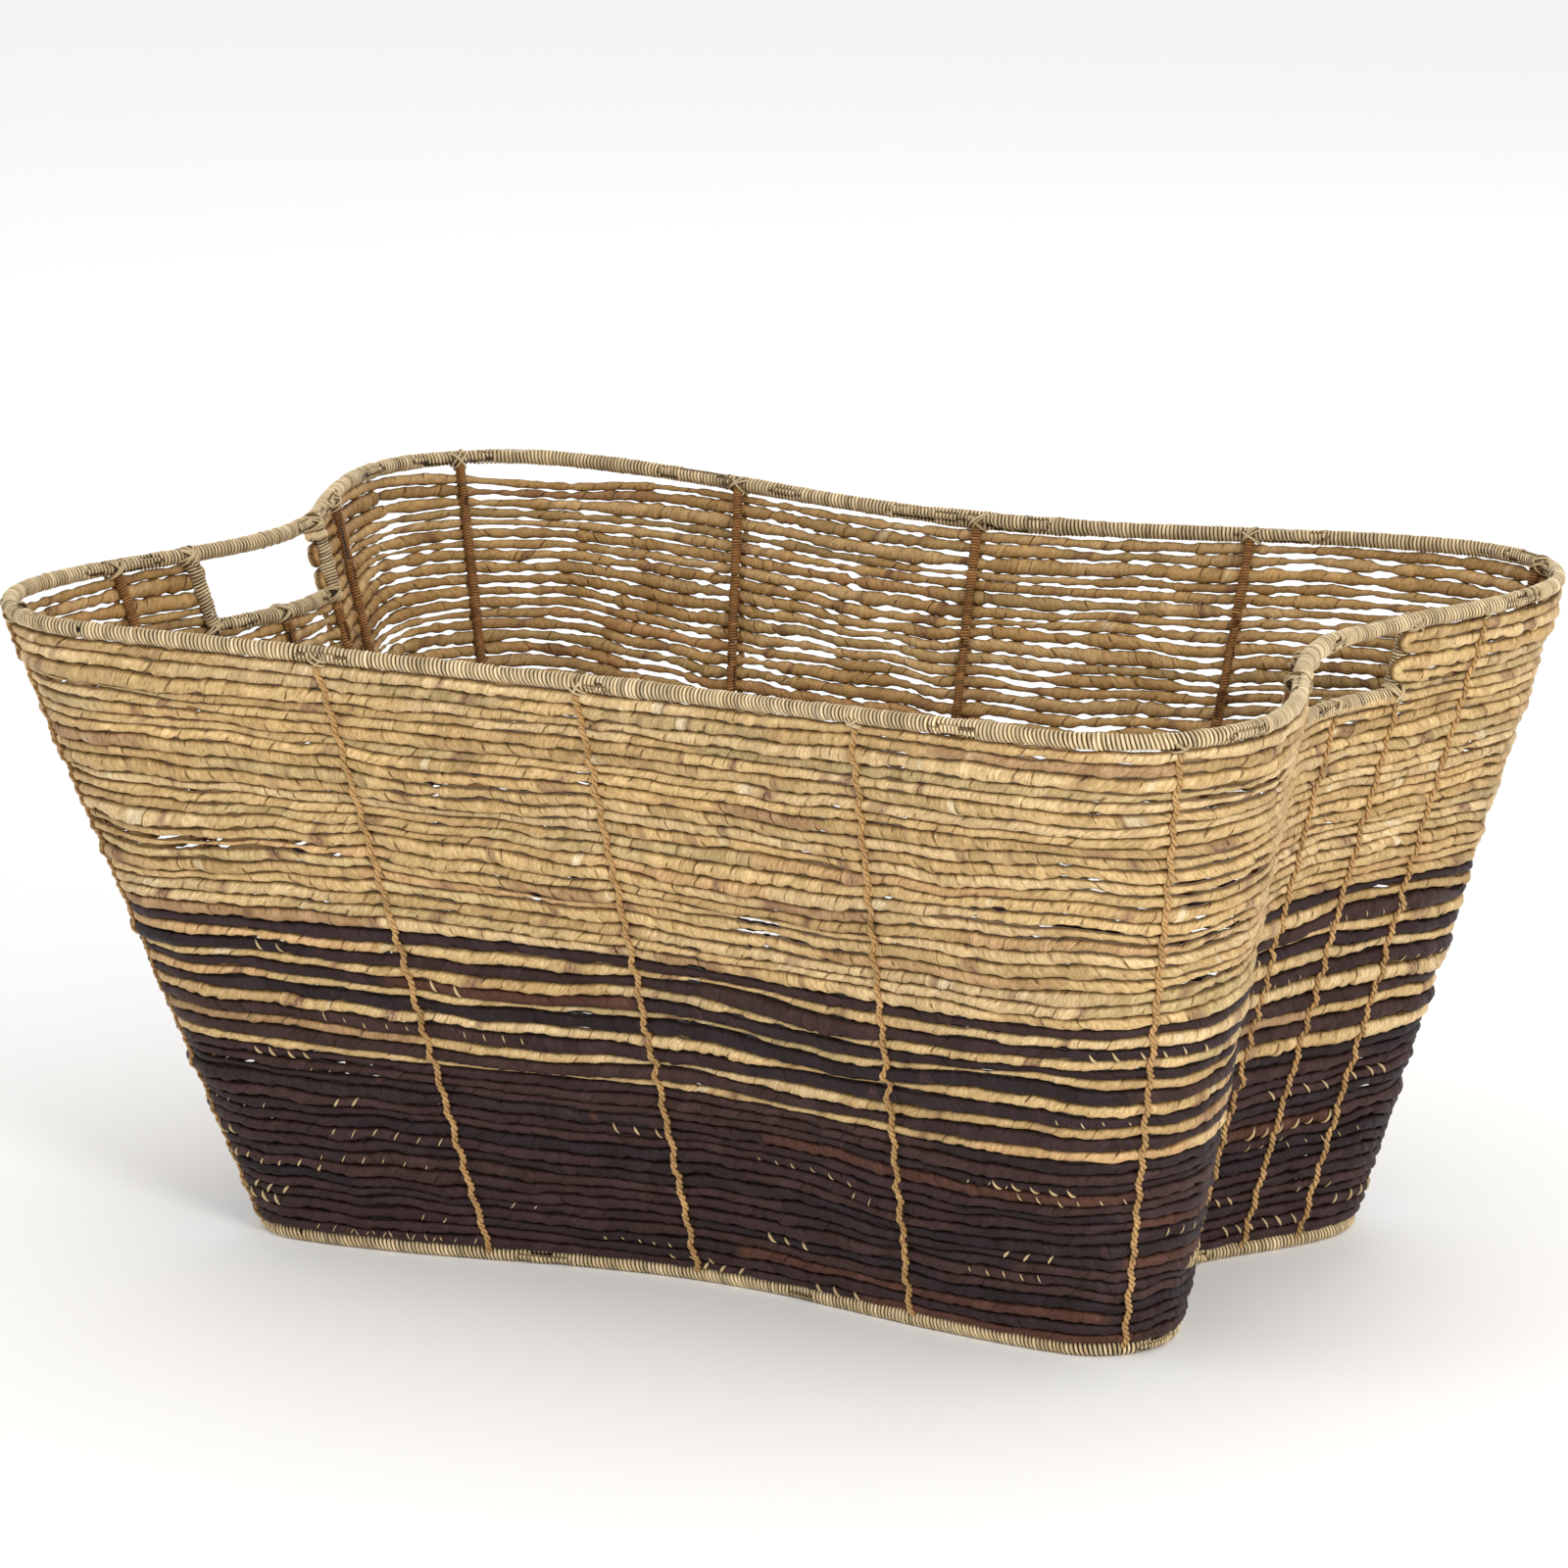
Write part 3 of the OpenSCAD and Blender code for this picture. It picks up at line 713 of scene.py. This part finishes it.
for side, first_turn, last_turn in (
    ("front", POST_TURNS[3], POST_TURNS[0]),
    ("back", POST_TURNS[1], POST_TURNS[2]),
):
    build = Build()
    serpentine(build, list(range(FIRST_TOP, COURSES)), first_turn, last_turn)
    build.piece(f"top_courses_{side}_rope", NATURAL_ROPE, "natural_rope", f"top_courses_{side}")


# ---------------------------------------------------------------------------------------------
# Twine wound round a wire, as one long helix
# ---------------------------------------------------------------------------------------------
# Twine round the rings and sills, round the stakes and round the posts: its radius and pitch
RING_TWINE = (1.12 * MM, 2.5 * MM)
SILL_TWINE = (1.12 * MM, 2.45 * MM)
STAKE_TWINE = (0.78 * MM, 1.75 * MM)
POST_TWINE = (0.95 * MM, 2.0 * MM)
RING_POINTS = 900
LINE_POINTS = 60


def winding(build, core, hint, wire_r, twine, tint, seed, per_turn=14, sides=6, lumps=(), spread=0.08):
    """Twine wound on a core line. lumps are (place, width, extra radius), the first two as shares of it."""
    twine_r, pitch = twine
    local = np.random.default_rng(seed)
    along = distances(core)
    length = along[-1]
    turns = int(length / pitch)
    spots = np.linspace(0, length, turns * per_turn)
    slack = np.cumsum(local.normal(0, 0.12, size=turns * per_turn)) * 0.05
    wind = TAU * (spots / pitch) + slack
    slope = np.sin(spots / (31 * MM) + seed) + 0.8 * np.sin(spots / (13 * MM) + 2 * seed) + 0.5
    spots = np.clip(spots + 0.75 * MM * slope * np.sin(wind), 0, length)
    line = np.stack([np.interp(spots, along, core[:, c]) for c in range(3)], 1)
    hints = np.stack([np.interp(spots, along, hint[:, c]) for c in range(3)], 1)
    across, up = frames_along(line, hints)
    turn_size = np.interp(spots / pitch, np.arange(turns + 2), local.normal(1.0, spread, size=turns + 2))
    lump = np.zeros(len(spots))
    for place, width, height in lumps:
        lump += height * np.exp(-((spots / length - place) / width) ** 4)
    reach = wire_r + twine_r * 0.92 * turn_size + lump
    away = across * np.cos(wind)[:, None] + up * np.sin(wind)[:, None]
    path = line + away * reach[:, None]
    # The lumps of the base's twine don't reach below the ground
    path[:, 2] = np.maximum(path[:, 2], 1.3 * twine_r)
    section, other = frames_along(path, away)
    tone = np.interp(spots / pitch, np.arange(turns + 2), local.normal(1.0, 0.16, size=turns + 2))
    tints = tint[None, :] * tone[:, None]
    twist = np.arange(len(spots)) * TAU * 0.09
    build.tube(path, section, other, twine_r * turn_size, tints, twist, sides=sides)


def ring_core(share):
    """A ring wire's centre line, and the direction out of the wall along it."""
    turn = np.linspace(0, 8, RING_POINTS) % 8
    shares = np.full(RING_POINTS, share)
    return wall(turn, shares), wall_axes(turn, shares)[2]


for name, share, lumps in (
    ("rim_wrap", 1.0, ((0.36, 0.012, 0.9 * MM), (0.61, 0.02, 1.1 * MM), (0.13, 0.008, 0.6 * MM),
                       (0.83, 0.010, 0.7 * MM), (0.22, 0.006, 0.8 * MM))),
    ("base_wrap", 0.0, ((0.20, 0.03, 1.3 * MM), (0.55, 0.012, 0.8 * MM), (0.985, 0.012, 0.7 * MM))),
):
    build = Build()
    core, hint = ring_core(share)
    winding(build, core, hint, RING_WIRE_R + 0.1 * MM, RING_TWINE, TWINE, 50, lumps=lumps)
    build.piece(f"{name}_twine", TWINE_MATERIAL, "seagrass_twine", name)

for side, turns in (("right", RIGHT_TURNS), ("left", LEFT_TURNS)):
    build = Build()
    sill_turns = np.linspace(turns[1] + 0.012, turns[3] - 0.012, LINE_POINTS)
    shares = np.full(LINE_POINTS, SILL_SHARE)
    winding(build, wall(sill_turns, shares), wall_axes(sill_turns, shares)[2], RING_WIRE_R + 0.1 * MM,
            SILL_TWINE, TWINE * 0.93, 60)
    build.piece(f"{side}_sill_twine", TWINE_MATERIAL, "seagrass_twine", f"{side}_sill_wrap")

# ---------------------------------------------------------------------------------------------
# Stake wraps inside the basket, post wraps beside the hand-holds
# ---------------------------------------------------------------------------------------------
def stake_line(turn, low, high):
    """A stake's centre line between two height shares, and the direction out of the wall along it."""
    share = np.linspace(low, high, LINE_POINTS)
    turns = np.full(LINE_POINTS, turn)
    _, _, out = wall_axes(turns, share)
    return wall(turns, share) - out * STAKE_IN, out


build = Build()
low_share, high_share = 9.5 * MM / WALL_RISE, 1 - 2.0 * MM / WALL_RISE
for number, turn in enumerate(ALL_TURNS):
    short = among(turn, POST_TURNS + SILL_TURNS)
    top = SILL_SHARE - 5.5 * MM / WALL_RISE if short else high_share
    core, hint = stake_line(turn, low_share, top)
    winding(build, core, hint, STAKE_WIRE_R + 0.15 * MM, STAKE_TWINE, BROWN_TWINE, 70 + number, per_turn=9,
            sides=5, spread=0.12)
build.piece("stake_twine", BROWN_MATERIAL, "brown_twine", "stake_wraps")

build = Build()
for number, turn in enumerate(POST_TURNS):
    core, hint = stake_line(turn, SILL_SHARE + 1.5 * MM / WALL_RISE, 1 - 1.0 * MM / WALL_RISE)
    winding(build, core, hint, 3.0 * MM, POST_TWINE, TWINE * 0.86, 90 + number, spread=0.12)
build.piece("post_twine", TWINE_MATERIAL, "seagrass_twine", "post_wraps")


# ---------------------------------------------------------------------------------------------
# Bindings: crossed loops of twine that tie each stake to the rim and the posts to the sills
# ---------------------------------------------------------------------------------------------
LOOP_POINTS = 25


def binding(build, turn, share, loops, size, seed):
    local = np.random.default_rng(seed)
    ahead, up, out = wall_axes(np.array([turn]), np.array([share]))
    hub = wall(np.array([turn]), np.array([share]))[0] - out[0] * 1.4 * MM
    angles = np.linspace(0, TAU, LOOP_POINTS)[:, None]
    for k in range(loops):
        lean = (1 if k % 2 else -1) * local.uniform(0.45, 1.0)
        across = ahead[0] * np.cos(lean) + up[0] * np.sin(lean)
        middle = hub + (ahead[0] * np.sin(lean) - up[0] * np.cos(lean)) * local.uniform(-2.0, 2.0) * MM
        swell = size + local.uniform(0, 0.8) * MM
        path = middle + swell * (np.cos(angles) * out[0] + 0.92 * np.sin(angles) * across)
        section, other = frames_along(path, path - middle)
        tints = TWINE[None, :] * local.uniform(0.75, 1.1) * np.ones((LOOP_POINTS, 1))
        build.tube(path, section, other, 1.0 * MM, tints, angles[:, 0], sides=6)


build = Build()
for number, turn in enumerate(ALL_TURNS):
    post = among(turn, POST_TURNS)
    if among(turn, SILL_TURNS):
        binding(build, turn, SILL_SHARE, 4, 6.0 * MM, 600 + number)
    else:
        binding(build, turn, 0.996, 7 if post else 3, 6.3 * MM, 600 + number)
    if post:
        binding(build, turn, SILL_SHARE, 7, 6.2 * MM, 650 + number)
build.piece("bindings", TWINE_MATERIAL, "seagrass_twine")


# ---------------------------------------------------------------------------------------------
# Lashings: two strands laid together, down the outside of every stake
# ---------------------------------------------------------------------------------------------
LASHING_STEP = 0.9 * MM
LASHING_LAY = 7.4 * MM
LASHING_FOOT, LASHING_TOP = 0.006, 0.985


def lashing(build, turn, low, high, seed):
    """Two strands laid together down the outside of the courses, dipping in between them."""
    local = np.random.default_rng(seed)
    count = int((high - low) * SLANT / LASHING_STEP)
    share = np.linspace(low, high, count)
    station = int(np.argmin(np.abs(TURNS - turn)))
    nearest = np.abs(share[:, None] - centre[None, :, station]).argmin(1)
    height = (share - centre[nearest, station]) * SLANT
    size = radius[nearest, station]
    crown = np.sqrt(np.clip(size ** 2 - height ** 2, 0, None))
    off = COURSE_OFF + push[nearest, station] + np.maximum(crown, 0.35 * size) + 0.9 * MM
    off = np.convolve(np.pad(off, 2, mode="edge"), np.ones(5) / 5, mode="valid")
    sway = 0.9 * MM * np.sin(share * SLANT / (9.5 * MM) * TAU / 2 + local.uniform(0, TAU))
    turns = np.full(count, turn)
    ahead, _, out = wall_axes(turns, share)
    line = wall(turns, share) + out * off[:, None] + ahead * sway[:, None]
    lay = share * SLANT / LASHING_LAY * TAU + local.uniform(0, TAU)
    tone = 1 + 0.10 * np.sin(share * 61 + seed) + 0.05 * local.normal(size=count)
    tints = LASHING[None, :] * tone[:, None]
    for strand in (0, np.pi):
        offset = ahead * np.cos(lay + strand)[:, None] + out * 0.7 * np.sin(lay + strand)[:, None]
        path = line + offset * 1.12 * MM
        section, other = frames_along(path, out)
        build.tube(path, section, other, 1.08 * MM, tints, lay, sides=7)


under_sill = SILL_SHARE - 4.5 * MM / WALL_RISE
end_tops = [LASHING_TOP, under_sill, under_sill, under_sill, LASHING_TOP]
for name, turns, tops in (
    ("front_lashings", FRONT_TURNS + [LOBE_TURNS[0], LOBE_TURNS[3]], [LASHING_TOP] * 5),
    ("back_lashings", BACK_TURNS + LOBE_TURNS[1:3], [LASHING_TOP] * 5),
    ("right_lashings", RIGHT_TURNS, end_tops),
    ("left_lashings", LEFT_TURNS, end_tops),
):
    build = Build()
    for number, (turn, top) in enumerate(zip(turns, tops)):
        lashing(build, turn, LASHING_FOOT, top, 500 + number + len(name))
    build.piece(f"{name}_cord", LASHING_MATERIAL, "lashing_cord", name)

# ---------------------------------------------------------------------------------------------
# Frayed strip edges: short pale slivers that stand out on the dark courses, a few winds in a row
# ---------------------------------------------------------------------------------------------
SLIVER_GROUPS = 130
SLIVER_POINTS = 7
SLIVER = linear(214, 190, 146)
build = Build()
local = np.random.default_rng(900)
for _ in range(SLIVER_GROUPS):
    i = int(local.integers(0, FIRST_NATURAL))
    if KINDS[i] == NATURAL:
        continue
    start = local.uniform(0, GIRTH)
    lean = local.choice((-1, 1))
    gap = local.uniform(11 * MM, 15 * MM)
    turned = local.uniform(-0.5, 0.5)
    bold = local.random() < 0.4
    for k in range(int(local.integers(2, 7))):
        around = (start + k * gap) / GIRTH
        station = int(around * STATIONS) % STATIONS
        reach = local.uniform(0.8, 1.25) if bold else local.uniform(0.3, 0.7)
        angles = turned + local.normal(0, 0.12) + np.linspace(-reach, reach, SLIVER_POINTS)
        line, out, up, ahead = (v[0] for v in course_path(i, np.array([station])))
        size = radius[i, station] + local.uniform(0.25, 0.6) * MM
        path = (line + size * (np.cos(angles)[:, None] * out + np.sin(angles)[:, None] * up)
                + ahead * (lean * angles * 2.2 * MM)[:, None])
        section, other = frames_along(path, np.repeat(out[None], SLIVER_POINTS, 0))
        taper = np.sin(np.linspace(0.15, np.pi - 0.15, SLIVER_POINTS))
        tints = SLIVER[None, :] * local.uniform(0.75, 1.1) * np.ones((SLIVER_POINTS, 1))
        thick = local.uniform(0.7, 1.1) * (1 if bold else 0.5) * MM * taper
        build.tube(path, section, other, thick, tints, angles, sides=5)
build.piece("frayed_slivers", LASHING_MATERIAL, "dark_rope")

# ---------------------------------------------------------------------------------------------
# Floor: dark rope wound to and fro lengthwise over the floor wires
# ---------------------------------------------------------------------------------------------
floor_low, floor_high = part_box("floor_courses")
floor_z = (floor_low[2] + floor_high[2]) / 2
FLOOR_INSET = 8.5 * MM
FLOOR_PITCH = 7.3 * MM
FLOOR_ROPE_R = 3.45 * MM
SHORTEST_ROW = 30 * MM
floor_size = (BASE_SIZE[0] - FLOOR_INSET, BASE_SIZE[1] - FLOOR_INSET, BASE_LOBE_R - FLOOR_INSET,
              BASE_END_DIP, BASE_SIDE_DIP)
edge_line = plan(floor_size, np.linspace(0, 8, 1601)[:-1]) + np.array([BASE_SHIFT, 0])
after = np.roll(edge_line, -1, axis=0)
build = Build()
rows = int((floor_high[1] - floor_low[1] - 2 * MM) / FLOOR_PITCH)
for row in range(rows):
    # A hair off the middle, where two points of the outline lie and no stretch of it would be crossed
    y = (row - (rows - 1) / 2) * FLOOR_PITCH + 0.01 * MM
    crossing = (edge_line[:, 1] - y) * (after[:, 1] - y) < 0
    start, stop = edge_line[crossing], after[crossing]
    part = (y - start[:, 1]) / (stop[:, 1] - start[:, 1])
    marks = np.sort(start[:, 0] + part * (stop[:, 0] - start[:, 0]))
    for left, right in zip(marks[::2], marks[1::2]):
        if right - left < SHORTEST_ROW:
            continue
        rings = max(8, int((right - left) / (3 * MM)))
        x = np.linspace(left + 2.5 * MM, right - 2.5 * MM, rings)
        local = np.random.default_rng(700 + row * 3)
        sway = 0.25 * MM * np.sin(x / (40 * MM) + local.uniform(0, TAU))
        path = np.stack([x, np.full(rings, y) + sway, np.full(rings, floor_z)], 1)
        across = np.repeat([[0.0, 0, 1]], rings, 0)
        up = np.repeat([[0.0, -1, 0]], rings, 0)
        tint, twist, edge = leaf_runs(local, row, right - left, rings, DARK_LEAF)
        size = FLOOR_ROPE_R * (1 + 0.02 * local.normal(size=rings) + 0.05 * np.clip(edge, 0, 1))
        build.tube(path, across, up, size, tint, twist, sides=10, relief=strip_relief(0.3 * MM))
build.piece("floor_courses_rope", DARK_ROPE, "dark_rope", "floor_courses")

# ---------------------------------------------------------------------------------------------
# CAD wires that stay, studio, camera
# ---------------------------------------------------------------------------------------------
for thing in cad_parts.values():
    if not thing.hide_render:
        thing.data.materials.clear()
        thing.data.materials.append(WIRE_MATERIAL)


def plane(name, size, material):
    mesh = bpy.data.meshes.new(name)
    half = size / 2
    corners = [(-half, -half, 0), (half, -half, 0), (half, half, 0), (-half, half, 0)]
    mesh.from_pydata(corners, [], [(0, 1, 2, 3)])
    mesh.materials.append(material)
    made = bpy.data.objects.new(name, mesh)
    bpy.context.scene.collection.objects.link(made)
    return made


plane("floor", 60.0, floor_material())


def area_light(name, place, target, size, power, colour=(1, 1, 1)):
    data = bpy.data.lights.new(name, "AREA")
    data.shape = "DISK"
    data.size = size
    data.energy = power
    data.color = colour
    made = bpy.data.objects.new(name, data)
    made.location = place
    direction = np.array(target) - np.array(place)
    made.rotation_euler = look_along(direction)
    bpy.context.scene.collection.objects.link(made)


def look_along(direction):
    return Vector(direction).to_track_quat("-Z", "Y").to_euler()


area_light("key_light", (3.3, -2.6, 1.9), (0, 0, 0.2), 1.3, 88, (1.0, 0.99, 0.97))
area_light("fill_light", (-2.8, -2.0, 2.0), (0, 0, 0.2), 2.2, 12)
area_light("back_light", (-0.4, 2.8, 2.6), (0, 0, 0.2), 2.4, 18)

world = bpy.data.worlds.new("studio")
world.use_nodes = True
world.node_tree.nodes["Background"].inputs[0].default_value = (1, 1, 1, 1)
world.node_tree.nodes["Background"].inputs[1].default_value = 0.92
bpy.context.scene.world = world
bpy.context.scene.view_settings.view_transform = "Standard"

CAMERA_AZIMUTH = math.radians(27.146)
CAMERA_ELEVATION = math.radians(13.178)
CAMERA_DISTANCE = 4.7758
CAMERA_LENS_MM = 187.3
AIM_ACROSS = -2.8 * MM
AIM_HEIGHT = 265.2 * MM
back_off = np.array([
    math.sin(CAMERA_AZIMUTH) * math.cos(CAMERA_ELEVATION),
    -math.cos(CAMERA_AZIMUTH) * math.cos(CAMERA_ELEVATION),
    math.sin(CAMERA_ELEVATION),
])
across_view = np.array([math.cos(CAMERA_AZIMUTH), math.sin(CAMERA_AZIMUTH), 0])
aim = across_view * AIM_ACROSS + np.array([0, 0, AIM_HEIGHT])
camera_data = bpy.data.cameras.new("camera")
camera_data.lens = CAMERA_LENS_MM
camera_data.sensor_width = 36
camera = bpy.data.objects.new("camera", camera_data)
camera.location = aim + back_off * CAMERA_DISTANCE
camera.rotation_euler = look_along(-back_off)
bpy.context.scene.collection.objects.link(camera)
bpy.context.scene.camera = camera
